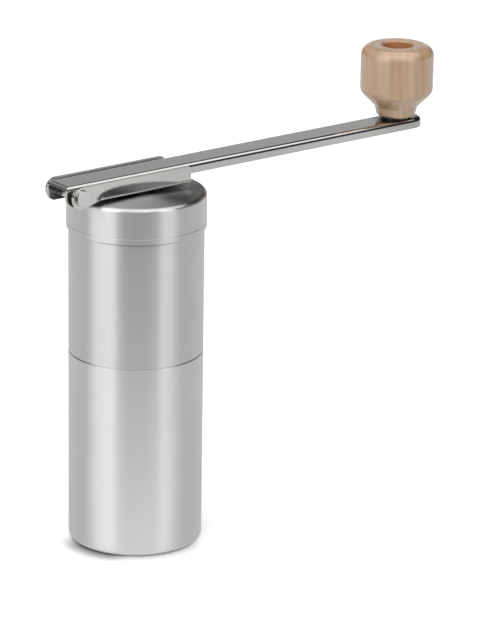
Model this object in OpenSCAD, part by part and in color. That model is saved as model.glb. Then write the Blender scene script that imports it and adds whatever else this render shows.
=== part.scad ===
// Hand crank coffee grinder: a steel hopper tube with a lid, a folding crank with a wooden
// knob, a pair of conical ceramic burrs, and a canister that pulls off the bottom.
// Millimetres, +Z up. The origin is the centre of the base, and the crank arm points along +X.

/* [Body] */
// Outside diameter of the hopper tube and of the canister
body_d = 50; // [48:0.5:58]
// Height of the seam between the canister and the hopper tube
seam_z = 73.5; // [70:0.5:90]
// Height of the hopper tube above the seam
hopper_h = 60.1; // [58:0.5:80]
// Thickness of the drawn steel walls
wall_t = 0.9; // [0.6:0.1:1.2]
// Thickness of the canister's floor
floor_t = 1.2; // [0.8:0.1:2]
// Radius of the canister's bottom edge
base_edge_r = 1.8; // [1.4:0.1:4]
// Gap between the canister and the tube
seam_gap = 0.1; // [0.1:0.05:0.6]

/* [Lid] */
// Clearance between the lid and the tube all round
lid_slip = 0.1; // [0.05:0.05:0.5]
// Outside height of the lid
lid_h = 13.4; // [11:0.1:15]
// Thickness of the lid's steel
lid_t = 0.7; // [0.5:0.05:0.7]
// Radius of the lid's top edge
lid_edge_r = 1.5; // [1:0.1:2]
// Height of the hem line above the lid's lower edge
hem_h = 2; // [1:0.1:3]
// Depth of the hem line
hem_depth = 0.08; // [0.06:0.02:0.2]
// Outside radius of the lid's bush
lid_bush_r = 6.5; // [6.3:0.1:7]
// Height of the lid's bush
lid_bush_h = 7.6; // [6:0.1:8]
// Radius of the flange on the lid's bush
lid_flange_r = 9.5; // [8.5:0.1:11]

/* [Folding crank] */
// Space between the lid and the bracket
crank_gap = 1.2; // [1.1:0.1:2.4]
// Height of the bracket's channel
bracket_h = 6.7; // [6.3:0.1:8]
// Thickness of the bracket's sheet
bracket_t = 1.3; // [1:0.1:1.4]
// Length of the bracket from the hinge pin to its square end
bracket_len = 48.4; // [44:0.1:56]
// Distance from the hinge pin to the start of the bracket's web
web_start = 8.8; // [8.4:0.1:12]
// Depth of the hinge pin below the arm's top face, which is also the radius of the ears
pin_depth = 4.15; // [3.9:0.05:4.2]
// Radius of the hinge pin
pin_r = 1.8; // [1.4:0.1:2.2]
// Radius of the hinge pin's flat head
pin_head_r = 3.05; // [2.8:0.05:3.6]
// Thickness of the hinge pin's flat head
pin_head_h = 1.1; // [0.8:0.1:1.6]
// Thickness of the clip on the far end of the hinge pin
pin_clip_h = 0.8; // [0.5:0.1:1.2]
// Outside width of the arm's channel
arm_w = 12.6; // [11.2:0.1:14]
// Thickness of the arm's sheet
arm_t = 1.1; // [0.9:0.1:1.3]
// Depth of the arm's flanges
arm_flange = 3.8; // [3:0.05:3.9]
// Depth of the arm's flanges round the hinge pin
arm_hinge_flange = 7.5; // [6.8:0.1:7.5]
// Length of the arm behind the hinge pin
arm_heel = 5.2; // [4:0.1:5.2]
// Length of the arm beyond the knob's axis
arm_tail = 10.8; // [8.5:0.1:14]
// Outside bend radius of the folded sheet edges
bend_r = 1.6; // [1.4:0.1:1.8]
// Space between the arm and each bracket flange
hinge_gap = 1.25; // [0.4:0.05:1.4]
// Space between the lid and the arm when the arm hangs down the side
fold_gap = 0.35; // [0.35:0.05:1]
// Space between the base and the knob when the knob is tucked under it
tuck_gap = 1.8; // [1:0.1:4]

/* [Knob] */
// Diameter of the knob
knob_d = 28; // [26:0.1:34]
// Height of the knob
knob_h = 27.6; // [25:0.1:34]
// Radius of the knob's top edge
knob_edge_r = 4; // [3:0.1:5]
// Radius of the knob's neck at its foot
knob_neck_r = 7.5; // [7:0.1:8.6]
// How much wider the knob's neck is at its top
knob_neck_flare = 0.8; // [0.2:0.1:1.2]
// Height of the knob's neck
knob_neck_h = 3.8; // [2:0.1:4.5]
// Chamfer at the knob's foot
knob_foot = 0.7; // [0.5:0.1:1.4]
// Radius that joins the knob's cone and its straight side
knob_belly_r = 4; // [2:0.1:5]
// Radius of the recess in the knob's top
recess_r = 5.75; // [5.6:0.05:6.6]
// Chamfer at the mouth of the recess
recess_chamfer = 0.6; // [0.3:0.1:1]
// Depth of the recess in the knob's top
recess_h = 15; // [10:0.5:15]
// Outside radius of the brass bush in the knob
knob_bush_r = 4.5; // [4.2:0.1:5]
// Radius of the knob screw's shoulder
knob_shoulder_r = 3; // [2.6:0.1:3.4]
// Radius of the knob screw's head
knob_head_r = 4.8; // [4:0.1:5]
// Height of the knob screw's head
knob_head_h = 2.4; // [2:0.1:3]
// Thickness of the washer under the knob
knob_washer_h = 1; // [0.6:0.1:1.6]
// Radius of the washer under the knob
knob_washer_r = 5.3; // [4.5:0.1:5.7]

/* [Drive] */
// Radius of the drive shaft
shaft_r = 3; // [2.6:0.1:3.2]
// Distance across the corners of the shaft's hexagon
hex_corners = 5.8; // [5:0.1:6]
// Length of the shaft's hexagon
hex_h = 11.6; // [9:0.1:12]
// Radius of the shaft's threaded tail
tail_r = 2.4; // [2:0.1:2.5]
// Length of the shaft's threaded tail
tail_h = 11; // [10:0.5:14]
// Outside radius of the drive socket
socket_r = 4.6; // [4.4:0.1:5]
// Radius of the drive socket's shoulder
shoulder_r = 6.2; // [5.8:0.1:6.6]
// Outside radius of the two shaft bushes
bush_r = 4.5; // [4.2:0.1:5]
// Height of the upper bearing's hub
bridge_hub_h = 9; // [8:0.5:10]
// Height of the upper bearing's rim
bridge_rim_h = 7; // [5:0.5:8]
// Number of spokes on the upper bearing and on the burr housing
spokes = 3; // [3:1:4]
// Width of each spoke
spoke_w = 3.8; // [3:0.1:5]

/* [Burrs] */
// Depth that the burr housing goes into the canister
spigot_h = 11.5; // [10:0.5:13]
// Width of the ring round the fixed burr, which takes the clamp's screws
burr_seat_w = 5.7; // [5.3:0.1:6.2]
// Height of the fixed burr
outer_burr_h = 13.4; // [12:0.1:14.4]
// Height of the rotating burr
inner_burr_h = 13; // [12:0.1:14]
// Distance from the fixed burr's outside to the wide end of the rotating burr
outer_burr_w = 4.3; // [3.9:0.1:5]
// Radius of the rotating burr at its narrow end
inner_burr_top_r = 6.9; // [6.8:0.1:8]
// Gap between the burrs at the finest setting
grind_gap = 0.35; // [0.25:0.05:0.6]
// Number of breaking ribs on the rotating burr
ribs = 7; // [5:1:9]
// Number of fine teeth on each burr
teeth = 32; // [24:4:36]
// Depth of the fine teeth
tooth_h = 0.8; // [0.5:0.1:1]
// Thickness of the ring that clamps the fixed burr
clamp_h = 2.2; // [1.6:0.1:3]
// Radius of the adjuster dial
dial_r = 9.2; // [8:0.1:11]
// Height of the adjuster dial
dial_h = 7.6; // [6:0.1:9]
// Number of finger grooves on the adjuster dial
dial_grooves = 8; // [6:1:12]
// Number of click stops in one turn of the adjuster dial
clicks = 12; // [8:1:16]
// Wire diameter of the burr spring
spring_wire = 0.9; // [0.6:0.1:1]
// Number of turns of the burr spring
spring_turns = 4; // [3:1:5]

/* [Hidden] */

$fn = 96;
eps = 0.01;
// How far a cutting shape reaches past what it cuts
over = 2;

// Clearances: a running fit, a press fit, a slip fit, and faces that only sit side by side
run_fit = 0.05;
press_fit = 0.03;
slip_fit = 0.1;
side_gap = 0.2;
face_gap = 0.05;

// Body levels and radii
body_r = body_d / 2;
bore_r = body_r - wall_t;
canister_top = seam_z - seam_gap / 2;
tube_z = seam_z + seam_gap / 2;
tube_top = seam_z + hopper_h;
base_inner_r = base_edge_r - wall_t;
rim_fall = lid_edge_r - lid_t;
rim_step = min(rim_fall, wall_t) * 0.6;

// Lid
lid_r = body_r + lid_slip + lid_t;
lid_top = tube_top + side_gap + face_gap + face_gap + lid_t;
lid_z = lid_top - lid_h;
lid_ceiling = lid_top - lid_t;
lid_bore_r = lid_r - lid_t;
lid_bush_z = lid_top - face_gap - lid_bush_h;
lid_flange_h = 1.3;

// Crank bracket, hinge and arm
bracket_z = lid_top + crank_gap;
arm_top = bracket_z + bracket_h;
pin_z = arm_top - pin_depth;
pin_x = -(lid_r + pin_depth + fold_gap);
bracket_gap = arm_w + 2 * hinge_gap;
bracket_w = bracket_gap + 2 * bracket_t;
bracket_end = pin_x + bracket_len;
knob_x = pin_x + pin_z + knob_d / 2 + tuck_gap;
arm_end = knob_x + arm_tail;
arm_in_w = arm_w - 2 * arm_t;
heel_edge_r = 1.6;
heel_foot_r = 2.8;
taper_end = web_start - 1.3;
taper_len = 5;
taper_start = taper_end - taper_len;
corner_r = 1.2;
hinge_washer_r = pin_r + 0.9;
relief_w = 0.7;
relief_h = 0.2;
ear_overlap = 4;

// Drive socket and what it carries
shoulder_h = 0.8;
socket_floor = 0.9;
web_top = bracket_z + bracket_t;
socket_neck_r = 3.6;
socket_clip_h = 0.8;
socket_clip_z = lid_bush_z - side_gap - socket_clip_h;
clip_depth = 0.4;
crank_screw_r = 1.5;
crank_head_r = 3.9;
crank_head_h = 2.2;
crank_screw_h = 4.2;

// Shaft levels, from the burrs upward
burr_sink = 3.2;
burr_z = seam_z - burr_sink;
inner_burr_z = burr_z - 1.1;
inner_burr_top = inner_burr_z + inner_burr_h;
washer_h = 0.6;
spring_z = inner_burr_top + washer_h + 0.5;
spring_h = 6.6;
spring_r = 4.6;
hub_z = spring_z + spring_h + side_gap + 0.8;
hub_h = 7.5;
housing_top = hub_z + hub_h;
bush_flange_h = 0.7;
bush_flange_r = bush_r + 1.1;
shaft_clip_z = housing_top + side_gap;
shaft_clip_h = 0.8;
shaft_clip_r = shaft_r + 2;
bridge_drop = 15.4;
bridge_z = tube_top - bridge_hub_h - bridge_drop;
hex_z = bridge_z + bridge_hub_h + bush_flange_h + 0.5;
hex_top = hex_z + hex_h;
socket_z = hex_z + 1;
click_h = 0.9;
click_z = inner_burr_z - click_h - face_gap;
dial_top = click_z - side_gap;
dial_z = dial_top - dial_h;
tail_top = click_z - face_gap;
shaft_z = tail_top - tail_h;
flat_half = tail_r + run_fit;
driver_r = 5.4;

// Burr housing
spigot_z = seam_z - spigot_h;
housing_r = bore_r - press_fit;
spigot_r = bore_r - side_gap;
outer_burr_r = spigot_r - burr_seat_w;
inner_burr_r = outer_burr_r - outer_burr_w;
clamp_r = spigot_r - 1.9;
clamp_in_r = outer_burr_r - 1.7;
burr_top = burr_z + outer_burr_h;
mouth_r = outer_burr_r - 2.6;
mouth_h = 1.2;
funnel_r = housing_r - 1.2;
seal_wire = 1.2;
seal_lift = 4;
seal_z = spigot_z + seal_lift;
seal_r = bore_r - slip_fit - seal_wire / 2;
hub_r = bush_r + 2;
spoke_h = 5;
clamp_screw_pos = (outer_burr_r + clamp_r) / 2;
screw_head_r = (clamp_r - outer_burr_r) / 2 - face_gap;
screw_r = screw_head_r * 0.68;
screw_head_h = 1.3;
screw_len = 7;

// Knob
knob_r = knob_d / 2;
knob_z = arm_top + knob_washer_h + face_gap;
knob_top = knob_z + knob_h;
recess_z = knob_top - recess_h;
knob_head_z = recess_z + side_gap;
neck_top_r = knob_neck_r + knob_neck_flare;
belly_z = knob_r + knob_neck_h - neck_top_r + knob_belly_r * (sqrt(2) - 1);
nut_h = 2.4;
nut_r = 4.1;

// A solid of revolution from an outline in radius and height
module turned() {
    rotate_extrude() children();
}

// A ring with a square section
module ring(r_out, r_in, z, h) {
    translate([0, 0, z])
        difference() {
            cylinder(r = r_out, h = h);
            translate([0, 0, -eps]) cylinder(r = r_in, h = h + 2 * eps);
        }
}

// A plain disc or rod
module rod(r, z, h) {
    translate([0, 0, z]) cylinder(r = r, h = h);
}

// Radius and height box of an outline
module band(r0, r1, z0, z1) {
    translate([r0, z0]) square([r1 - r0, z1 - z0]);
}

// Spokes from the hub out to the rim, with gaps centred on +X
module spoke_set(r_in, r_out, z, h) {
    for (i = [0:spokes - 1])
        rotate([0, 0, 180 / spokes + i * 360 / spokes])
            translate([r_in, -spoke_w / 2, z]) cube([r_out - r_in, spoke_w, h]);
}

// Outline of a cup's foot: a disc with a rounded outer edge
module foot_outline(r, edge_r, z0, z1) {
    band(0, r - edge_r, z0, z1);
    band(0, r, z0 + edge_r, z1);
    translate([r - edge_r, z0 + edge_r]) circle(r = edge_r);
}

module canister() {
    color("silver")
        turned()
            intersection() {
                band(0, body_r, 0, canister_top);
                difference() {
                    foot_outline(body_r, base_edge_r, 0, canister_top);
                    foot_outline(bore_r, base_inner_r, floor_t, canister_top + 1);
                }
            }
}

// The tube's top edge is chamfered outside to clear the rounded corner inside the lid
module body_tube() {
    color("silver")
        turned()
            polygon([[bore_r, tube_z], [body_r, tube_z], [body_r, tube_top - rim_fall],
                [body_r - rim_step, tube_top], [bore_r, tube_top]]);
}

module burr_housing() {
    color("dimgray")
        difference() {
            union() {
                turned() {
                    difference() {
                        union() {
                            band(0, spigot_r, spigot_z, seam_z);
                            band(0, housing_r, seam_z, housing_top);
                        }
                        band(-eps, clamp_r + side_gap, spigot_z - eps, burr_z);
                        band(-eps, outer_burr_r + press_fit, burr_z - eps, burr_top + face_gap);
                        band(-eps, mouth_r, burr_top, burr_top + mouth_h + eps);
                        polygon([[0, burr_top + mouth_h], [mouth_r, burr_top + mouth_h],
                            [funnel_r, hub_z - 1], [funnel_r, housing_top + 1], [0, housing_top + 1]]);
                    }
                }
                spoke_set(hub_r - 1, funnel_r + 0.4, hub_z, spoke_h);
                rod(hub_r, hub_z, hub_h);
            }
            turned() band(0, bush_r + press_fit, hub_z - eps, housing_top + eps);
            turned()
                band(seal_r - seal_wire / 2 - slip_fit, bore_r + 1,
                    seal_z - seal_wire / 2 - slip_fit, seal_z + seal_wire / 2 + slip_fit);
            clamp_places() rod(screw_r + press_fit, burr_z - eps, screw_len - clamp_h + 1);
        }
}

module clamp_places() {
    for (i = [0:2])
        rotate([0, 0, i * 120]) translate([clamp_screw_pos, 0, 0]) children();
}

module canister_seal() {
    color("black") turned() translate([seal_r, seal_z]) circle(r = seal_wire / 2, $fn = 32);
}

module bearing_bridge() {
    rim_z = bridge_z + (bridge_hub_h - bridge_rim_h) / 2;
    color("dimgray")
        difference() {
            union() {
                ring(housing_r, housing_r - 2.2, rim_z, bridge_rim_h);
                spoke_set(hub_r - 1, housing_r - 2, rim_z + 1, bridge_rim_h - 2);
                rod(hub_r, bridge_z, bridge_hub_h);
            }
            rod(bush_r + press_fit, bridge_z - 1, bridge_hub_h + 2);
        }
}

// A flanged bush, with its flange at the bottom or at the top
module shaft_bush(z, h, flange_z) {
    color("white")
        difference() {
            union() {
                rod(bush_r, z - face_gap - eps, h + 2 * (face_gap + eps));
                rod(bush_flange_r, flange_z, bush_flange_h);
            }
            rod(shaft_r + run_fit, z - over, h + 2 * over);
        }
}

module upper_bush() {
    shaft_bush(bridge_z, bridge_hub_h, bridge_z + bridge_hub_h + face_gap);
}

module lower_bush() {
    shaft_bush(hub_z, hub_h, hub_z - bush_flange_h - face_gap);
}

// Cross-section of a burr: straight-sided teeth between two radii
module tooth_star(count, r_root, r_tip, share) {
    polygon([for (i = [0:count - 1], p = [[0, r_root], [share, r_tip], [0.5, r_tip], [0.75, r_root]])
        let (a = (i + p[0]) * 360 / count) [p[1] * cos(a), p[1] * sin(a)]]);
}

function inner_r_at(z) =
    inner_burr_r + (inner_burr_top_r - inner_burr_r) * (z - inner_burr_z) / inner_burr_h;

module inner_burr() {
    fine_h = inner_burr_h * 0.4;
    rib_h = inner_burr_h - fine_h;
    fine_r = inner_r_at(inner_burr_z + fine_h);
    color("ivory")
        difference() {
            union() {
                translate([0, 0, inner_burr_z])
                    linear_extrude(height = fine_h, twist = -14, scale = fine_r / inner_burr_r,
                        slices = 4)
                        tooth_star(teeth, inner_burr_r - tooth_h, inner_burr_r, 0.3);
                translate([0, 0, inner_burr_z + fine_h])
                    linear_extrude(height = rib_h, twist = -70, scale = inner_burr_top_r / fine_r,
                        slices = 12)
                        tooth_star(ribs, fine_r * 0.84, fine_r, 0.28);
            }
            rod(driver_r + press_fit, inner_burr_z - 1, inner_burr_h + 2);
        }
}

module outer_burr() {
    throat_r = inner_r_at(burr_z) + grind_gap;
    color("ivory")
        difference() {
            rod(outer_burr_r, burr_z, outer_burr_h);
            translate([0, 0, burr_z - eps])
                linear_extrude(height = outer_burr_h + 2 * eps, twist = 24, scale = 1.06, slices = 6)
                    tooth_star(teeth, throat_r, throat_r + tooth_h, 0.3);
        }
}

module burr_clamp() {
    color("silver")
        difference() {
            ring(clamp_r, clamp_in_r, burr_z - clamp_h - face_gap, clamp_h);
            clamp_places() rod(screw_r + slip_fit, burr_z - clamp_h - 1, clamp_h + 2);
        }
}

module clamp_screws() {
    head_z = burr_z - clamp_h - 2 * face_gap - screw_head_h;
    color("gray")
        clamp_places()
            difference() {
                union() {
                    rod(screw_head_r, head_z, screw_head_h);
                    rod(screw_r, head_z + screw_head_h - eps, screw_len);
                }
                translate([0, 0, head_z - eps])
                    cylinder(r = screw_head_r * 0.54, h = screw_head_h * 0.6, $fn = 6);
            }
}

// The shaft's section where it drives the burr: a circle with two flats
module flat_section(r, half) {
    intersection() {
        circle(r = r);
        square([2 * r + 1, 2 * half], center = true);
    }
}

module drive_shaft() {
    flat_top = inner_burr_top + washer_h;
    color("silver")
        difference() {
            union() {
                rod(tail_r, shaft_z, tail_h + eps);
                translate([0, 0, tail_top])
                    linear_extrude(height = flat_top - tail_top) flat_section(shaft_r, flat_half);
                rod(shaft_r, flat_top, hex_z - flat_top);
                translate([0, 0, hex_z - eps]) cylinder(r = hex_corners / 2, h = hex_h, $fn = 6);
            }
            ring(shaft_r + 1, shaft_r - clip_depth, shaft_clip_z - face_gap,
                shaft_clip_h + 2 * face_gap);
        }
}

// A snap ring that is open on one side
module snap_ring(r_out, r_in, z, h) {
    color("gray")
        difference() {
            ring(r_out, r_in, z, h);
            translate([r_in / 2, -r_in * 0.55, z - 1]) cube([r_out, r_in * 1.1, h + 2]);
        }
}

module shaft_clip() {
    snap_ring(shaft_clip_r, shaft_r - clip_depth + press_fit, shaft_clip_z, shaft_clip_h);
}

module burr_spring() {
    sides = 6;
    turn_steps = 18;
    steps = turn_steps * spring_turns;
    rise = spring_h - spring_wire;
    points = [for (i = [0:steps], k = [0:sides - 1])
        let (a = i * 360 / turn_steps, b = k * 360 / sides, r = spring_r + spring_wire / 2 * cos(b))
        [r * cos(a), r * sin(a),
            spring_z + spring_wire / 2 + rise * i / steps + spring_wire / 2 * sin(b)]];
    sleeve = [for (i = [0:steps - 1], k = [0:sides - 1])
        [i * sides + k, i * sides + (k + 1) % sides,
            (i + 1) * sides + (k + 1) % sides, (i + 1) * sides + k]];
    ends = [[for (k = [0:sides - 1]) sides - 1 - k], [for (k = [0:sides - 1]) steps * sides + k]];
    color("gray") mirror([0, 1, 0]) polyhedron(points = points, faces = concat(sleeve, ends));
}

module spring_washer() {
    color("gray") ring(driver_r + 1.1, shaft_r + slip_fit, inner_burr_top + face_gap, washer_h - face_gap);
}

module burr_driver() {
    color("dimgray")
        difference() {
            rod(driver_r, inner_burr_z, inner_burr_h);
            translate([0, 0, inner_burr_z - 1])
                linear_extrude(height = inner_burr_h + 2)
                    flat_section(shaft_r + run_fit, flat_half + run_fit);
        }
}

module click_plate() {
    color("silver")
        difference() {
            rod(dial_r - 1, click_z, click_h);
            translate([0, 0, click_z - 1])
                linear_extrude(height = click_h + 2) flat_section(shaft_r + slip_fit, flat_half + slip_fit);
            for (i = [0:clicks - 1])
                rotate([0, 0, i * 360 / clicks]) translate([dial_r - 2.6, 0, 0]) rod(0.6, click_z - 1, click_h + 2);
        }
}

module adjuster_dial() {
    groove_r = dial_r * 0.24;
    color("dimgray")
        difference() {
            union() {
                rod(dial_r, dial_z, dial_h);
                rod(dial_r * 0.6, dial_z - 1.2, 1.2 + eps);
            }
            for (i = [0:dial_grooves - 1])
                rotate([0, 0, i * 360 / dial_grooves])
                    translate([dial_r + groove_r * 0.45, 0, 0]) rod(groove_r, dial_z - 1, dial_h - 0.8);
            rod(tail_r + run_fit, dial_z - over, dial_h + 2 * over);
        }
}

module lid() {
    color("silver")
        turned()
            intersection() {
                band(0, lid_r, lid_z, lid_top);
                difference() {
                    union() {
                        band(0, lid_r, lid_z, lid_top - lid_edge_r);
                        band(0, lid_r - lid_edge_r, lid_z, lid_top);
                        translate([lid_r - lid_edge_r, lid_top - lid_edge_r]) circle(r = lid_edge_r);
                    }
                    band(-eps, lid_bore_r, lid_z - 1, lid_top - lid_edge_r);
                    band(-eps, lid_r - lid_edge_r, lid_z - 1, lid_ceiling);
                    translate([lid_r - lid_edge_r, lid_top - lid_edge_r])
                        circle(r = lid_edge_r - lid_t);
                    band(-eps, lid_bush_r + press_fit, lid_ceiling - 1, lid_top + 1);
                    translate([lid_r, lid_z + hem_h]) circle(r = hem_depth, $fn = 16);
                }
            }
}

module lid_bush() {
    color("dimgray")
        difference() {
            union() {
                rod(lid_bush_r, lid_bush_z, lid_bush_h);
                rod(lid_flange_r, lid_ceiling - face_gap - lid_flange_h, lid_flange_h);
            }
            rod(socket_r + run_fit, lid_bush_z - 1, lid_bush_h + 2);
        }
}

module crank_washer() {
    washer_z = lid_top + face_gap;
    color("white")
        ring(shoulder_r, socket_r + slip_fit, washer_z, bracket_z - shoulder_h - face_gap - washer_z);
}

module drive_socket() {
    color("gray")
        difference() {
            union() {
                rod(socket_r, socket_z, bracket_z - socket_z);
                rod(shoulder_r, bracket_z - shoulder_h, shoulder_h);
                translate([0, 0, bracket_z - eps])
                    cylinder(r = socket_neck_r, h = bracket_t, $fn = 6);
            }
            translate([0, 0, socket_z - 1])
                cylinder(r = hex_corners / 2 + slip_fit, h = hex_top + side_gap - socket_z + 1, $fn = 6);
            rod(crank_screw_r + press_fit, web_top - crank_screw_h - side_gap, crank_screw_h + 1);
            ring(socket_r + 1, socket_r - clip_depth, socket_clip_z - face_gap,
                socket_clip_h + 2 * face_gap);
        }
}

module socket_clip() {
    snap_ring(socket_r + 1.4, socket_r - clip_depth + press_fit, socket_clip_z, socket_clip_h);
}

// Cross-section of the bracket's channel, in width and height, with its bends at the bottom
module bracket_section() {
    outer_w = bracket_w / 2;
    inner_r = bend_r - bracket_t;
    difference() {
        union() {
            translate([-outer_w, bend_r]) square([bracket_w, bracket_h - bend_r]);
            translate([-outer_w + bend_r, 0]) square([bracket_w - 2 * bend_r, bracket_h]);
            for (side = [-1, 1]) translate([side * (outer_w - bend_r), bend_r]) circle(r = bend_r);
        }
        translate([-bracket_gap / 2, bend_r]) square([bracket_gap, bracket_h]);
        translate([-bracket_gap / 2 + inner_r, bracket_t]) square([bracket_gap - 2 * inner_r, bracket_h]);
        for (side = [-1, 1])
            translate([side * (bracket_gap / 2 - inner_r), bend_r]) circle(r = inner_r, $fn = 32);
    }
}

// Side outline of an ear, with the hinge pin at the origin. Its lower edge rises to a relief
// notch before the bend starts.
module ear_outline() {
    bend_top = pin_depth - bracket_h + bend_r;
    circle(r = pin_depth);
    polygon([[0, pin_depth], [0, 0], [pin_depth * cos(60), -pin_depth * sin(60)],
        [web_start - relief_w, bend_top - bend_r / 2], [web_start - relief_w, bend_top + relief_h],
        [web_start + ear_overlap, bend_top + relief_h], [web_start + ear_overlap, pin_depth]]);
}

// Side outline of the bracket's channel, from the web's start to its square end
module channel_outline() {
    length = bracket_len - web_start;
    square([length - corner_r, bracket_h]);
    square([length, bracket_h - corner_r]);
    translate([length - corner_r, bracket_h - corner_r]) circle(r = corner_r);
}

module at_pin() {
    translate([pin_x, 0, pin_z]) rotate([90, 0, 0]) children();
}

module crank_bracket() {
    color("silver")
        difference() {
            union() {
                intersection() {
                    translate([pin_x + web_start, 0, bracket_z])
                        rotate([90, 0, 90])
                            linear_extrude(height = bracket_len - web_start) bracket_section();
                    translate([pin_x + web_start, bracket_w, bracket_z])
                        rotate([90, 0, 0]) linear_extrude(height = 2 * bracket_w) channel_outline();
                }
                for (side = [-1, 1])
                    at_pin()
                        translate([0, 0, side * (bracket_gap + bracket_t) / 2 - bracket_t / 2])
                            linear_extrude(height = bracket_t) ear_outline();
            }
            at_pin() translate([0, 0, -bracket_w]) cylinder(r = pin_r + press_fit, h = 2 * bracket_w);
            translate([0, 0, bracket_z - 1])
                cylinder(r = socket_neck_r + press_fit, h = bracket_t + 2, $fn = 6);
        }
}

module crank_screw() {
    color("gray")
        difference() {
            union() {
                rod(crank_head_r, web_top + face_gap, crank_head_h);
                rod(crank_screw_r, web_top - crank_screw_h, crank_screw_h + 1);
            }
            translate([0, 0, web_top + crank_head_h * 0.45])
                cylinder(r = crank_head_r * 0.5, h = crank_head_h, $fn = 6);
        }
}

module hinge_pin() {
    color("silver")
        at_pin() {
            translate([0, 0, bracket_w / 2 + face_gap]) cylinder(r = pin_head_r, h = pin_head_h);
            translate([0, 0, -bracket_w / 2 - pin_clip_h - face_gap])
                cylinder(r = pin_r, h = bracket_w + pin_clip_h + 2 * face_gap + pin_head_h / 2);
        }
}

module pin_clip() {
    color("gray")
        at_pin()
            translate([0, 0, -bracket_w / 2 - pin_clip_h - face_gap])
                difference() {
                    cylinder(r = pin_head_r - 0.4, h = pin_clip_h);
                    translate([0, 0, -1]) cylinder(r = pin_r + press_fit, h = pin_clip_h + 2);
                }
}

module hinge_washers() {
    color("gray")
        for (side = [-1, 1])
            at_pin()
                translate([0, 0, side * (arm_w + hinge_gap) / 2 - hinge_gap / 2 + face_gap])
                    difference() {
                        cylinder(r = hinge_washer_r, h = hinge_gap - 2 * face_gap);
                        translate([0, 0, -1]) cylinder(r = pin_r + press_fit, h = hinge_gap + 2);
                    }
}

// Half of the arm's cross-section, from its middle out, with the top face at height 0
module arm_half_section(depth, thin) {
    half = arm_w / 2;
    inner_r = bend_r - arm_t;
    difference() {
        union() {
            translate([0, -depth]) square([half, depth - bend_r]);
            translate([0, -depth]) square([half - bend_r, depth]);
            translate([half - bend_r, -bend_r]) circle(r = bend_r);
        }
        translate([-eps, -depth - 1]) square([half - arm_t + eps, depth + 1 - bend_r]);
        translate([-eps, -depth - 1]) square([half - bend_r + eps, depth + 1 - arm_t]);
        translate([half - bend_r, -bend_r]) circle(r = inner_r, $fn = 32);
        translate([-half - bend_r, -depth - 1]) square([half + bend_r, depth + 2]);
    }
}

// Side outline of the arm at the hinge, with the pin at the origin and the top face above it
module heel_outline() {
    heel_z = pin_depth - arm_hinge_flange;
    translate([-arm_heel + heel_edge_r, pin_depth - heel_edge_r]) circle(r = heel_edge_r);
    translate([-arm_heel + heel_foot_r, heel_z + heel_foot_r]) circle(r = heel_foot_r);
    translate([-arm_heel, heel_z + heel_foot_r])
        square([arm_heel, arm_hinge_flange - heel_foot_r - heel_edge_r]);
    translate([-arm_heel + heel_foot_r, heel_z]) square([arm_heel, arm_hinge_flange - heel_edge_r]);
    translate([-arm_heel + heel_edge_r, 0]) square([arm_heel, pin_depth]);
    polygon([[0, heel_z], [taper_start, heel_z], [taper_end, pin_depth - arm_flange],
        [arm_end - pin_x, pin_depth - arm_flange], [arm_end - pin_x, pin_depth], [0, pin_depth]]);
}

module crank_arm() {
    tip_x = arm_end - arm_w / 2;
    color("silver")
        difference() {
            union() {
                intersection() {
                    translate([pin_x - arm_heel, 0, arm_top])
                        rotate([90, 0, 90])
                            linear_extrude(height = tip_x - pin_x + arm_heel)
                                for (side = [0, 1])
                                    mirror([side, 0]) arm_half_section(arm_hinge_flange, arm_t);
                    at_pin() translate([0, 0, -arm_w]) linear_extrude(height = 2 * arm_w) heel_outline();
                }
                translate([tip_x, 0, arm_top])
                    rotate([0, 0, -90])
                        rotate_extrude(angle = 180) arm_half_section(arm_flange, arm_t);
            }
            at_pin() translate([0, 0, -arm_w]) cylinder(r = pin_r + run_fit, h = 2 * arm_w);
            translate([knob_x, 0, arm_top - arm_t - 1]) cylinder(r = tail_r + slip_fit, h = arm_t + 2);
        }
}

module on_knob_axis() {
    translate([knob_x, 0, 0]) children();
}

module knob_washer() {
    color("dimgray")
        on_knob_axis()
            ring(knob_washer_r, knob_shoulder_r + slip_fit, arm_top + face_gap, knob_washer_h - face_gap);
}

module knob_screw() {
    color("gray")
        on_knob_axis()
            difference() {
                union() {
                    rod(knob_head_r, knob_head_z, knob_head_h);
                    rod(knob_shoulder_r, arm_top + face_gap, knob_head_z + eps - arm_top - face_gap);
                    rod(tail_r, arm_top - arm_t - nut_h - 0.4, arm_t + nut_h + 1);
                }
                translate([0, 0, knob_head_z + 0.8]) cylinder(r = knob_head_r * 0.55, h = knob_head_h, $fn = 6);
            }
}

module knob_nut() {
    nut_z = arm_top - arm_t - nut_h - face_gap;
    color("gray")
        on_knob_axis()
            difference() {
                translate([0, 0, nut_z]) cylinder(r = nut_r, h = nut_h, $fn = 6);
                rod(tail_r + press_fit, nut_z - 1, nut_h + 2);
            }
}

module knob_bush() {
    color("goldenrod")
        on_knob_axis() ring(knob_bush_r, knob_shoulder_r + run_fit, knob_z, recess_z - knob_z);
}

module knob_outline() {
    belly_x = knob_r - knob_belly_r;
    reach = knob_belly_r / sqrt(2);
    polygon([[0, 0], [knob_neck_r - knob_foot, 0], [knob_neck_r, knob_foot],
        [neck_top_r, knob_neck_h], [belly_x + reach, belly_z - reach], [belly_x, belly_z], [0, belly_z]]);
    translate([belly_x, belly_z]) circle(r = knob_belly_r);
    band(0, knob_r, belly_z, knob_h - knob_edge_r);
    translate([knob_r - knob_edge_r, knob_h - knob_edge_r]) circle(r = knob_edge_r);
    band(0, knob_r - knob_edge_r, belly_z, knob_h);
}

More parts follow.
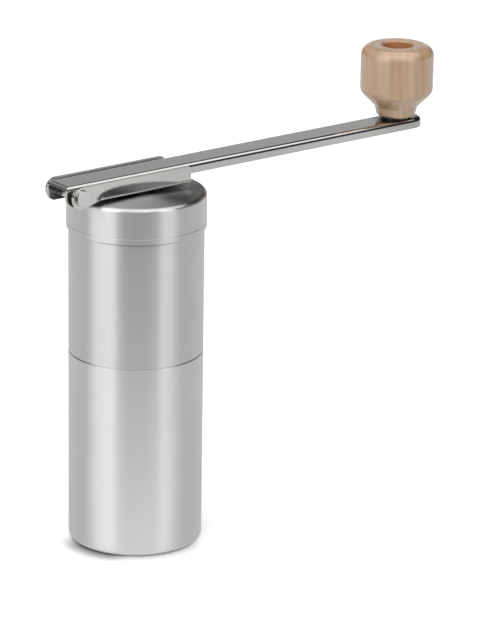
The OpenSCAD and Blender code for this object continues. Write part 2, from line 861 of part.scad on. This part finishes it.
module knob() {
    color("burlywood")
        on_knob_axis()
            translate([0, 0, knob_z])
                turned()
                    difference() {
                        knob_outline();
                        band(-eps, recess_r, knob_h - recess_h, knob_h + 1);
                        polygon([[0, knob_h - recess_r - recess_chamfer], [recess_r, knob_h - recess_chamfer],
                            [recess_r + recess_chamfer + over, knob_h + over], [0, knob_h + over]]);
                        band(-eps, knob_bush_r + press_fit, -1, knob_h);
                    }
}

canister();
body_tube();
burr_housing();
canister_seal();
bearing_bridge();
upper_bush();
lower_bush();
outer_burr();
burr_clamp();
clamp_screws();
drive_shaft();
shaft_clip();
burr_spring();
spring_washer();
burr_driver();
inner_burr();
click_plate();
adjuster_dial();
lid();
lid_bush();
crank_washer();
drive_socket();
socket_clip();
crank_bracket();
crank_screw();
hinge_pin();
pin_clip();
hinge_washers();
crank_arm();
knob_washer();
knob_screw();
knob_nut();
knob_bush();
knob();
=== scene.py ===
import math

import bpy
from mathutils import Matrix, Vector


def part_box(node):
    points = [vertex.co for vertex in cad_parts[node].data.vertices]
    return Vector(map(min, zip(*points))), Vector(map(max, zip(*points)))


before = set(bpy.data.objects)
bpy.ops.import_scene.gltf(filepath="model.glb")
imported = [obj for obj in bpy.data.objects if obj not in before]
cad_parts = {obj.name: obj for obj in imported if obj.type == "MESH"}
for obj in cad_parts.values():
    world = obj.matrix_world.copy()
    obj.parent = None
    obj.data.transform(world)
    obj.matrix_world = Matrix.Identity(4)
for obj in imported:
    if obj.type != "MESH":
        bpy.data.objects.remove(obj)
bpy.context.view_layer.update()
print("frame loaded:", len(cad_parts), "nodes")


class Wire:  # one output of a finish's nodes; arithmetic on it adds Math nodes
    def __init__(self, finish, socket):
        self.finish = finish
        self.socket = socket

    def __add__(self, other):
        return self.finish.maths("ADD", self, other)

    def __radd__(self, other):
        return self.finish.maths("ADD", other, self)

    def __sub__(self, other):
        return self.finish.maths("SUBTRACT", self, other)

    def __rsub__(self, other):
        return self.finish.maths("SUBTRACT", other, self)

    def __mul__(self, other):
        return self.finish.maths("MULTIPLY", self, other)

    def __rmul__(self, other):
        return self.finish.maths("MULTIPLY", other, self)

    def __truediv__(self, other):
        return self.finish.maths("DIVIDE", self, other)

    def __rtruediv__(self, other):
        return self.finish.maths("DIVIDE", other, self)

    def __pow__(self, other):
        return self.finish.maths("POWER", self, other)

    def __rpow__(self, other):
        return self.finish.maths("POWER", other, self)

    def part(self, output):  # another output of the same node
        return Wire(self.finish, self.socket.node.outputs[output])


class Finish:  # the nodes of one material, or of the world
    def __init__(self, owner):
        owner.use_nodes = True
        self.owner = owner
        self.tree = owner.node_tree
        self.tree.nodes.clear()

    def plug(self, socket, value):
        if isinstance(value, Wire):
            self.tree.links.new(value.socket, socket)
        elif hasattr(socket.default_value, "__len__") and len(socket.default_value) == 4:
            socket.default_value = (*value, 1)
        else:
            socket.default_value = value

    def add(self, kind, settings=None, sockets=None, output=0):
        node = self.tree.nodes.new("ShaderNode" + kind)
        for name, value in (settings or {}).items():
            setattr(node, name, value)
        for name, value in (sockets or {}).items():
            self.plug(node.inputs[name], value)
        return Wire(self, node.outputs[output])

    def maths(self, operation, *values, clamp=False):
        return self.add("Math", {"operation": operation, "use_clamp": clamp}, dict(enumerate(values)))

    def vector(self, operation, *values, output=0):
        return self.add("VectorMath", {"operation": operation}, dict(enumerate(values)), output)

    def mix(self, factor, first, second):  # of two colours
        return self.add("Mix", {"data_type": "RGBA"}, {0: factor, 6: first, 7: second}, 2)

    def tint(self, colour, amount):  # a colour made lighter or darker
        return self.add("VectorMath", {"operation": "SCALE"}, {"Vector": colour, "Scale": amount})

    def smooth(self, value, low, high, start=0.0, end=1.0):
        return self.add("MapRange", {"interpolation_type": "SMOOTHSTEP"},
                        {"Value": value, "From Min": low, "From Max": high,
                         "To Min": start, "To Max": end})

    def here(self, centre=(0, 0, 0)):  # a place on the piece, from that centre, in metres
        place = self.add("TexCoord", output="Object")
        return self.vector("SUBTRACT", place, centre) if any(centre) else place

    def axes(self, place):
        return self.add("SeparateXYZ", None, {"Vector": place})

    def length(self, place):
        return self.vector("LENGTH", place, output="Value")

    def along(self, place, way):  # how far it lies in that direction
        return self.vector("DOT_PRODUCT", place, tuple(way), output="Value")

    def noise(self, place, scale=1.0, detail=2.0, rough=0.5):
        if not isinstance(scale, (int, float)):
            place, scale = self.vector("MULTIPLY", place, scale), 1.0
        return self.add("TexNoise", None,
                        {"Vector": place, "Scale": scale, "Detail": detail, "Roughness": rough})

    def openness(self, reach, own=False):  # 1 on an open surface, lower in a gap
        return self.add("AmbientOcclusion", {"samples": 8, "only_local": own},
                        {"Distance": reach}).part("AO")

    def gapShade(self, reach, darkest, own=False, clear=0.8):  # painted shade: a factor that darkens colour in narrow gaps
        return self.smooth(self.openness(reach, own), 0.1, clear, darkest, 1)

    def softEdges(self, radius):
        return self.add("Bevel", {"samples": 4}, {"Radius": radius})

    def bump(self, height, depth, strength, normal=None):
        sockets = {"Height": height, "Distance": depth, "Strength": strength}
        if normal:
            sockets["Normal"] = normal
        return self.add("Bump", None, sockets)

    def glow(self, level):  # white light
        return self.add("Emission", None, {"Color": self.tint((1, 1, 1), level), "Strength": 1.0})

    def surface(self, values):  # closes the material with a Principled shader
        self.close(self.add("BsdfPrincipled", None, values))
        return self.owner

    def close(self, shader):
        kind = "OutputWorld" if isinstance(self.owner, bpy.types.World) else "OutputMaterial"
        output = self.tree.nodes.new("ShaderNode" + kind)
        self.tree.links.new(shader.socket, output.inputs["Surface"])


def newFinish(name):
    return Finish(bpy.data.materials.new(name))


def dress(material, *names):
    for name in names:
        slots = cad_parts[name].data.materials
        slots.clear()
        slots.append(material)


# Camera, with the way it faces: "front" is the horizontal direction from the grinder to it

view = {
    "place": (-0.69606, -0.94169, 0.48209),
    "yaw": 38.350,
    "down": 18.745,
    "roll": 0.901,
    "lens": 188.24,
}
yaw = math.radians(view["yaw"])
front = Vector((-math.sin(yaw), -math.cos(yaw), 0))
right = Vector((math.cos(yaw), -math.sin(yaw), 0))

camera = bpy.data.objects.new("camera", bpy.data.cameras.new("camera"))
bpy.context.scene.collection.objects.link(camera)
camera.data.lens = view["lens"]
camera.matrix_world = (
    Matrix.Translation(view["place"])
    @ Matrix.Rotation(-yaw, 4, "Z")
    @ Matrix.Rotation(math.radians(90 - view["down"]), 4, "X")
    @ Matrix.Rotation(math.radians(view["roll"]), 4, "Z")
)
bpy.context.scene.camera = camera
bpy.context.scene.view_settings.view_transform = "Standard"
print("camera placed")

# Floor. Two numbers are where a change starts and ends; two more are its values there.

floorLook = {
    "size": 16.0,
    "drop": 0.0002,
    "colour": (0.82, 0.82, 0.81),
    "glow": (0.04, 0.30, 0.42, 0.62),  # seen by the camera, by distance from the axis
    "horizon": (0.9, 2.6, 0, 0.4),  # where it turns white
    "contact": (0.0245, 0.034),  # where the glow fades into the shadow at the base
    "contactCorner": (0.75, 0.95, 0.2, 1),  # how much it does, towards the front left corner
    "shadeReach": 0.0105,
    "shadeClear": (0.45, 1.0),
    "shadeFacing": (0.2, 0.65),
    "shadeCorner": (0.70, 0.97, 0.62, 0.29),
    "near": (0.012, 0.032, 0.72, 0.97),  # painted light that metal sees on it at the base, aside and ahead
    "far": (0.0, 0.6, 0.79, 0.17),
    "reach": (0.04, 0.46),  # from near to far
    "leftBand": (-1.47, -1.36, -0.80, -0.10, 0.45),  # turns where a painted band of light starts and ends, and its strength
    "rightBand": (0.30, 0.85, 1.19, 1.43, 0.46),
}


def turnBand(finish, turn, look):
    start, rise, fall, end, strength = look
    return finish.smooth(turn, start, rise) * finish.smooth(turn, fall, end, strength, 0)


def makeFloor(look):
    reach, height = look["size"] / 2, -look["drop"]
    mesh = bpy.data.meshes.new("floor")
    corners = [(x * reach, y * reach, height) for x, y in ((-1, -1), (1, -1), (1, 1), (-1, 1))]
    mesh.from_pydata(corners, [], [(0, 1, 2, 3)])
    floor = bpy.data.objects.new("floor", mesh)
    bpy.context.scene.collection.objects.link(floor)

    finish = newFinish("pale floor")
    ray = finish.add("LightPath")
    place = finish.here()
    distance = finish.length(place)
    ahead = finish.along(place, front)
    aside = finish.along(place, right)
    facing = ahead / distance
    corner = (ahead - aside) / distance * 0.7071  # 1 straight to the front left

    # painted shadow at the base, from how open the floor is there, darkest towards the front left
    # corner
    clear = finish.smooth(finish.openness(look["shadeReach"]), *look["shadeClear"])
    shade = 1 - (1 - clear) * finish.smooth(facing, *look["shadeFacing"]) * (
        1 - finish.smooth(corner, *look["shadeCorner"]))
    glow = finish.smooth(distance, *look["glow"]) + finish.smooth(distance, *look["horizon"])
    faded = 1 - finish.smooth(distance, *look["contact"])
    glow = glow * (1 - faded * finish.smooth(corner, *look["contactCorner"]))
    seen = finish.glow(ray.part("Is Camera Ray") * glow * shade)
    plain = finish.add("BsdfDiffuse", None, {"Color": look["colour"]})
    shaded = finish.add("MixShader", None, {0: shade, 2: plain})
    bare = finish.add("AddShader", None, {0: shaded, 1: seen})

    # painted light that only reflections see: the floor glows brighter near the base and in a band to
    # each side
    turn = finish.maths("ARCTAN2", aside, ahead)
    near = finish.smooth(ahead, *look["near"])
    far = finish.smooth(facing, *look["far"])
    far = far + turnBand(finish, turn, look["leftBand"]) + turnBand(finish, turn, look["rightBand"])
    away = finish.smooth(distance, *look["reach"])
    mirror = finish.glow(near * (1 - away) + far * away)
    mirrored = finish.maths("MAXIMUM", ray.part("Is Glossy Ray"), ray.part("Is Transmission Ray"))
    finish.close(finish.add("MixShader", None, {0: mirrored, 1: bare, 2: mirror}))
    mesh.materials.append(finish.owner)


makeFloor(floorLook)

# Studio: the room that the metal mirrors, white where the camera sees it. "Up" is the height of a
# direction, the others are how far it turns that way.

studio = {
    "dark": 0.06,  # room on the camera's side
    "haze": 0.85,  # soft light above and behind the camera
    "hazeTurn": (0.25, 0.65),
    "hazeUp": (0.04, 0.34),
    "leftGlow": 0.36,  # soft light above on the left
    "leftTurn": (0.10, 0.60),
    "leftUp": (0.18, 0.48),
    "wall": 0.95,  # wall behind the grinder, at the horizon
    "wallHigh": 0.42,
    "wallUp": (0.10, 0.30),
    "wallTurn": (0.88, 0.97),
    "ceiling": 0.04,
    "ceilingUp": (0.36, 0.52),
}


def makeStudio(look):
    world = bpy.data.worlds.new("studio")
    bpy.context.scene.world = world
    finish = Finish(world)
    way = finish.add("TexCoord", output="Generated")
    up = finish.axes(way).part("Z")
    behind = finish.along(way, -front)
    low = finish.smooth(up, *look["wallUp"], look["wall"], look["wallHigh"])
    high = finish.smooth(up, *look["ceilingUp"])
    wall = low * (1 - high) + look["ceiling"] * high
    haze = finish.smooth(behind * -1, *look["hazeTurn"], look["dark"], look["haze"])
    haze = haze * finish.smooth(up, *look["hazeUp"])
    leftGlow = finish.smooth(finish.along(way, -right), *look["leftTurn"], 0, look["leftGlow"])
    haze = haze + leftGlow * finish.smooth(up, *look["leftUp"])
    side = finish.smooth(behind, *look["wallTurn"])
    level = wall * side + haze * (1 - side)
    seen = finish.add("LightPath").part("Is Camera Ray")
    level = level * (1 - seen) + seen
    finish.close(finish.add("Background", None,
                            {"Color": finish.tint((1, 1, 1), level), "Strength": 1.0}))


makeStudio(studio)

lampTarget = Vector((0.03, 0, 0.10))
lamps = [  # turn is from the camera round to its right, in degrees; level is the lamp's radiance
    {"name": "left strip", "turn": -51, "away": 0.80, "height": 0.36,
     "size": (0.66, 0.95), "level": 1.42, "inMetal": True},
    {"name": "right strip", "turn": 54, "away": 0.80, "height": 0.36,
     "size": (0.38, 0.95), "level": 0.98, "inMetal": True},
    {"name": "overhead box", "turn": 70, "away": 0.12, "height": 0.95,
     "size": (1.30, 1.30), "level": 1.32, "inMetal": True},
    {"name": "soft fill", "turn": -5, "away": 0.95, "height": 1.15,
     "size": (1.0, 1.0), "level": 1.15, "inMetal": False},
]


def makeLamp(look):
    light = bpy.data.lights.new(look["name"], "AREA")
    light.shape = "RECTANGLE"
    light.size, light.size_y = look["size"]
    light.energy = look["level"] * math.pi * light.size * light.size_y
    lamp = bpy.data.objects.new(look["name"], light)
    lamp.visible_glossy = look["inMetal"]
    bpy.context.scene.collection.objects.link(lamp)
    turn = math.radians(look["turn"])
    away = front * math.cos(turn) + right * math.sin(turn)
    lamp.location = away * look["away"] + Vector((0, 0, look["height"]))
    lamp.rotation_euler = (lampTarget - lamp.location).to_track_quat("-Z", "Y").to_euler()


for lampLook in lamps:
    makeLamp(lampLook)
print("studio lit")

# Body: stainless steel, brushed round its axis

shellLook = {
    "steel": (0.685, 0.680, 0.671),
    "rough": 0.33,
    "roughSpread": 0.10,
    "smearRough": 0.05,
    "fineLines": (26, 26, 5200),
    "broadLines": (9, 9, 900),
    "smears": 38,
    "lineDepth": 0.000006,
    "toneSpread": 0.10,
    "edge": 0.00018,
    "gap": (0.0032, 0.12),  # how far the shade in a gap reaches, and its darkest
    "shadeLines": [],  # painted shade lines beside an edge: height, half height, darkness, the way it leans, and how far that way it starts to show
    "topShade": None,  # height of a flat top, and the tone of the painted shade on it
}


def brushedShell(name, look, seed):
    finish = newFinish(name)
    place = finish.here((0, 0, seed))
    fine = finish.noise(place, look["fineLines"], detail=3, rough=0.6)
    broad = finish.noise(place, look["broadLines"], detail=3, rough=0.55)
    smear = finish.noise(place, look["smears"], detail=3, rough=0.6)
    lines = fine * 0.55 + broad * 0.30 + smear * 0.15
    tone = 1 + (lines - 0.5) * look["toneSpread"]
    # painted shade in gaps, such as on the lid's top under the bracket
    tone = tone * finish.gapShade(*look["gap"], clear=0.5)
    spot = finish.here()
    up = finish.axes(spot).part("Z")
    # painted shade lines, each shown only where the surface lies far enough that way
    for height, half, darkness, side, fadeFrom in look["shadeLines"]:
        off = finish.maths("ABSOLUTE", up - height)
        lean = finish.maths("ABSOLUTE", finish.along(spot, side))
        kept = finish.smooth(lean, fadeFrom, fadeFrom + 0.008)
        tone = tone * (1 - finish.smooth(off, half * 0.5, half, darkness, 0) * kept)
    # painted shade on the flat top, up to just below its face
    if look["topShade"]:
        height, topShadeTone = look["topShade"]
        tone = tone * finish.smooth(up, height - 0.0006, height - 0.0001, 1, topShadeTone)
    rough = look["rough"] + (lines - 0.5) * look["roughSpread"] + (smear - 0.5) * look["smearRough"]
    return finish.surface({
        "Base Color": finish.tint(look["steel"], tone), "Metallic": 1.0, "Roughness": rough,
        "Anisotropic": 0.9, "Anisotropic Rotation": 0.25,
        "Normal": finish.bump(fine, look["lineDepth"], 0.6, finish.softEdges(look["edge"]))})


lidBottom, lidTop = (corner[2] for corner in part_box("lid"))
# Painted shade along the seam, shown towards the sides, and under the lid's lower edge, shown to the
# front and back
seamShade = (0.07355, 0.00035, 0.72, right, 0.012)
lidShadow = (lidBottom - 0.00045, 0.00025, 0.45, front, 0.0165)
canisterLook = {**shellLook, "steel": (0.730, 0.725, 0.716), "shadeLines": [seamShade]}
tubeLook = {**shellLook, "shadeLines": [seamShade, lidShadow]}
lidLook = {**shellLook, "topShade": (lidTop, 0.74)}
dress(brushedShell("brushed canister", canisterLook, 0.013), "canister")
dress(brushedShell("brushed tube", tubeLook, 0.291), "body_tube")
dress(brushedShell("brushed lid", lidLook, 0.577), "lid")
print("body dressed")

# Crank: polished stainless sheet

sheetLook = {
    "steel": (0.62, 0.61, 0.595),
    "rough": 0.085,
    "smears": 90,
    "smearRough": 0.06,
    "smearTone": 0.05,
    "scratches": (60, 2600, 2600),
    "scratchRough": 0.04,
    "scratchTone": 0.06,
    "scratchDepth": 0.0000015,
    "waves": 55,
    "waveDepth": 0.00004,
    "edge": 0.00022,
    "channel": (0.007, 0.15),  # how far the shade in it reaches, and its darkest
    "inside": 0.3,  # how light the painted shade leaves the sheet's inner, unpolished side
    "innerRough": 0,
    "cutEnd": None,  # where the end is cut, whose face is left out of the painted shade
    "glintBend": None,  # height of a lower bend with a painted highlight
    "glintTone": 0.55,
    "glintFrom": (-0.0245, -0.0235),
    "knobReflection": None,  # painted reflection of the knob's dark underside round the knob: where it starts and ends, and its tone, on top and aside
    "topHeight": 0.1410,
}
bracketLook = {**sheetLook, "halfInside": 0.00755, "insideTop": 0.1405, "innerRough": 0.32,
               "glintBend": 0.1358}
armLook = {**sheetLook, "halfInside": 0.00520, "insideTop": 0.1419,
           "cutEnd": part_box("crank_arm")[0][0],
           "knobReflection": ((0.1125, 0.1185, 0.52), (0.098, 0.126, 0.76))}


def polishedSheet(name, look, seed):
    finish = newFinish(name)
    place = finish.here((seed, 0, 0))
    scratches = finish.noise(place, look["scratches"], detail=4, rough=0.65) - 0.5
    smears = finish.noise(place, look["smears"], detail=4, rough=0.6) - 0.5
    waves = finish.noise(place, look["waves"], detail=1)
    spot = finish.axes(finish.here())
    along, up = spot.part("X"), spot.part("Z")
    aside = finish.maths("ABSOLUTE", spot.part("Y"))

    inner = 1 - finish.smooth(aside, look["halfInside"] + 0.00002, look["halfInside"] + 0.0002)
    rough = look["rough"] + smears * look["smearRough"] + scratches * look["scratchRough"]
    rough = rough + inner * look["innerRough"]
    inner = inner * (1 - finish.smooth(up, look["insideTop"], look["insideTop"] + 0.0002))
    if look["cutEnd"]:
        inner = inner * finish.smooth(along - look["cutEnd"], 0.0001, 0.0004)
    tone = 1 + smears * look["smearTone"] + scratches * look["scratchTone"]
    # painted shade deep in the channel and on the sheet's inner side
    tone = tone * finish.gapShade(*look["channel"], own=True) * (1 - inner * (1 - look["inside"]))
    # painted highlight along the lower bend, from near the hinge onwards
    if look["glintBend"]:
        bend = 1 - finish.smooth(up, look["glintBend"] + 0.0006, look["glintBend"] + 0.0012)
        tone = tone * (1 + bend * finish.smooth(along, *look["glintFrom"]) * look["glintTone"])
    # painted reflection: darker round the knob, where its dark underside is mirrored
    if look["knobReflection"]:
        onTop = finish.smooth(up, look["topHeight"], look["topHeight"] + 0.0004)
        top, side = (finish.smooth(along, start, end, 1, dimmed) for start, end, dimmed in look["knobReflection"])
        tone = tone * (top * onTop + side * (1 - onTop))
    flowing = finish.bump(waves, look["waveDepth"], 0.25, finish.softEdges(look["edge"]))
    return finish.surface({
        "Base Color": finish.tint(look["steel"], tone), "Metallic": 1.0, "Roughness": rough,
        "Normal": finish.bump(scratches, look["scratchDepth"], 0.5, flowing)})


dress(polishedSheet("polished bracket", bracketLook, 0.37), "crank_bracket")
dress(polishedSheet("polished arm", armLook, 0.81), "crank_arm")
print("crank dressed")

# Turned and pressed steel parts, with tool marks round their own axis

hinge = Vector((-0.0303, 0, 0.13835))
knobAxis = Vector((0.12385, 0, 0))

turnedLook = {
    "steel": (0.60, 0.595, 0.585),
    "rough": 0.26,
    "marks": 5200,
    "markRough": 0.08,
    "markDepth": 0.0000025,
    "stains": 260,
    "stainRough": 0.14,
    "toneSpread": 0.12,
    "edge": 0.00015,
}


def turnedSteel(name, look, centre=(0, 0, 0), axis="Z"):
    finish = newFinish(name)
    place = finish.here(tuple(centre))
    flat = (1, 0, 1) if axis == "Y" else (1, 1, 0)
    distance = finish.length(finish.vector("MULTIPLY", place, flat))
    along = finish.axes(place).part(axis)
    spiral = finish.add("CombineXYZ", None, {0: distance * look["marks"], 1: along * look["marks"]})
    marks = finish.noise(spiral, 1.0, detail=2)
    stains = finish.noise(place, look["stains"], detail=4, rough=0.65) - 0.5
    tone = 1 + (marks - 0.5) * look["toneSpread"] + stains * look["toneSpread"]
    rough = look["rough"] + (marks - 0.5) * look["markRough"] + stains * look["stainRough"]
    return finish.surface({
        "Base Color": finish.tint(look["steel"], tone), "Metallic": 1.0, "Roughness": rough,
        "Normal": finish.bump(marks, look["markDepth"], 0.5, finish.softEdges(look["edge"]))})


pinLook = {**turnedLook, "steel": (0.67, 0.665, 0.655), "rough": 0.20}
zincLook = {**turnedLook, "steel": (0.50, 0.51, 0.52), "rough": 0.34}
springLook = {**turnedLook, "steel": (0.36, 0.355, 0.35), "rough": 0.30}
clipLook = {**turnedLook, "steel": (0.30, 0.30, 0.305), "rough": 0.36}
brassLook = {**turnedLook, "steel": (0.66, 0.47, 0.20), "rough": 0.27}
# nearly black steel: painted shade for the socket in the gap under the bracket
socketShadeLook = {**turnedLook, "steel": (0.045, 0.045, 0.047), "rough": 0.40}

dress(turnedSteel("pin steel", pinLook, hinge, "Y"), "hinge_pin", "hinge_washers")
dress(turnedSteel("clip steel", clipLook, hinge, "Y"), "pin_clip")
dress(turnedSteel("knob screw steel", zincLook, knobAxis), "knob_screw", "knob_nut")
dress(turnedSteel("knob bush brass", brassLook, knobAxis), "knob_bush")
dress(turnedSteel("shaft steel", turnedLook), "drive_shaft", "click_plate", "burr_clamp",
      "spring_washer")
# painted shade: the drive socket is made nearly black to stand in for the shade under the bracket
dress(turnedSteel("socket steel dark as shade", socketShadeLook), "drive_socket")
dress(turnedSteel("zinc steel", zincLook), "crank_screw", "clamp_screws")
dress(turnedSteel("spring steel", springLook), "burr_spring", "shaft_clip", "socket_clip")
print("steel parts dressed")

# Plastic, rubber and ceramic parts

mouldedLook = {
    "black": {"colour": (0.022, 0.022, 0.024), "rough": 0.42, "grain": 2600, "depth": 0.000012},
    "acetal": {"colour": (0.74, 0.725, 0.68), "rough": 0.38, "grain": 1500, "depth": 0.000006},
    "rubber": {"colour": (0.030, 0.030, 0.031), "rough": 0.62, "grain": 3200, "depth": 0.000010},
    "ceramic": {"colour": (0.80, 0.775, 0.71), "rough": 0.33, "grain": 2100, "depth": 0.000010},
    "cloud": 120,
    "edge": 0.0002,
}


def moulded(name, kind):
    look = mouldedLook[kind]
    finish = newFinish(name)
    place = finish.here()
    grain = finish.noise(place, look["grain"], detail=3, rough=0.6)
    cloud = finish.noise(place, mouldedLook["cloud"], detail=4, rough=0.6) - 0.5
    tone = 1 + (grain - 0.5) * 0.16 + cloud * 0.14
    rough = look["rough"] + cloud * 0.14 + (grain - 0.5) * 0.10
    return finish.surface({
        "Base Color": finish.tint(look["colour"], tone), "Roughness": rough,
        "Normal": finish.bump(grain, look["depth"], 0.6, finish.softEdges(mouldedLook["edge"]))})


# The crank washer is made black to stand in for the shade under the bracket.
dress(moulded("black plastic", "black"), "burr_housing", "bearing_bridge", "burr_driver",
      "adjuster_dial", "lid_bush", "crank_washer", "knob_washer")
dress(moulded("acetal", "acetal"), "upper_bush", "lower_bush")
dress(moulded("seal rubber", "rubber"), "canister_seal")
dress(moulded("burr ceramic", "ceramic"), "outer_burr", "inner_burr")
print("moulded parts dressed")

# Knob: light hardwood, turned and oiled

knobLook = {
    "pale": (0.485, 0.325, 0.198),
    "dark": (0.303, 0.182, 0.101),
    "warm": (0.46, 0.247, 0.138),
    "inside": (0.41, 0.183, 0.068),
    "pith": (0.047, -0.030, 0),  # from the knob's axis
    "sway": (60, 60, 16),
    "swayReach": 0.011,
    "rings": 300,
    "fibres": (700, 700, 22),
    "broad": (150, 150, 20),
    "pores": (2400, 2400, 110),
    "blush": 85,
    "recess": 0.00585,
    "gap": (0.007, 0.45),  # how far the shade at the neck reaches, and its darkest
    "rough": 0.40,
    "depth": 0.00002,
    "oil": 0.80,
}


def turnedWood(name, look):
    finish = newFinish(name)
    place = finish.here(tuple(knobAxis))
    sway = finish.noise(place, look["sway"], detail=2)
    fromPith = finish.vector("MULTIPLY", finish.vector("SUBTRACT", place, look["pith"]), (1, 1, 0))
    distance = finish.length(fromPith) + (sway - 0.5) * look["swayReach"]
    rings = finish.maths("SINE", distance * look["rings"] * math.tau) * 0.5 + 0.5
    fibres = finish.noise(place, look["fibres"], detail=4, rough=0.6)
    pores = finish.smooth(finish.noise(place, look["pores"], detail=1), 0.62, 0.74)
    broad = finish.noise(place, look["broad"], detail=3)
    grain = rings ** 3.0 * 0.22 + (fibres - 0.5) * 0.35 + (broad - 0.5) * 1.6 + 0.25
    colour = finish.mix(finish.maths("ADD", grain, 0, clamp=True), look["pale"], look["dark"])
    blush = finish.smooth(finish.noise(place, look["blush"], detail=2), 0.52, 0.72)
    colour = finish.mix(blush * 0.4, colour, look["warm"])
    colour = finish.mix(pores * 0.25, colour, look["dark"])
    fromAxis = finish.length(finish.vector("MULTIPLY", place, (1, 1, 0)))
    inside = 1 - finish.smooth(fromAxis, look["recess"], look["recess"] + 0.0004)
    colour = finish.mix(inside, colour, look["inside"])
    # painted shade at the neck, left out in the recess
    shade = 1 - (1 - finish.gapShade(*look["gap"])) * (1 - inside)
    height = fibres * 0.7 + rings * 0.3 - pores * 0.8
    return finish.surface({
        "Base Color": finish.tint(colour, shade),
        "Roughness": look["rough"] + (fibres - 0.5) * 0.16 + pores * 0.12 + inside * 0.2,
        "Coat Weight": look["oil"] * (1 - inside), "Coat Roughness": 0.20, "Coat IOR": 1.8,
        "Normal": finish.bump(height, look["depth"], 0.55)})


dress(turnedWood("turned wood", knobLook), "knob")
print("knob dressed")

print("all dressed")
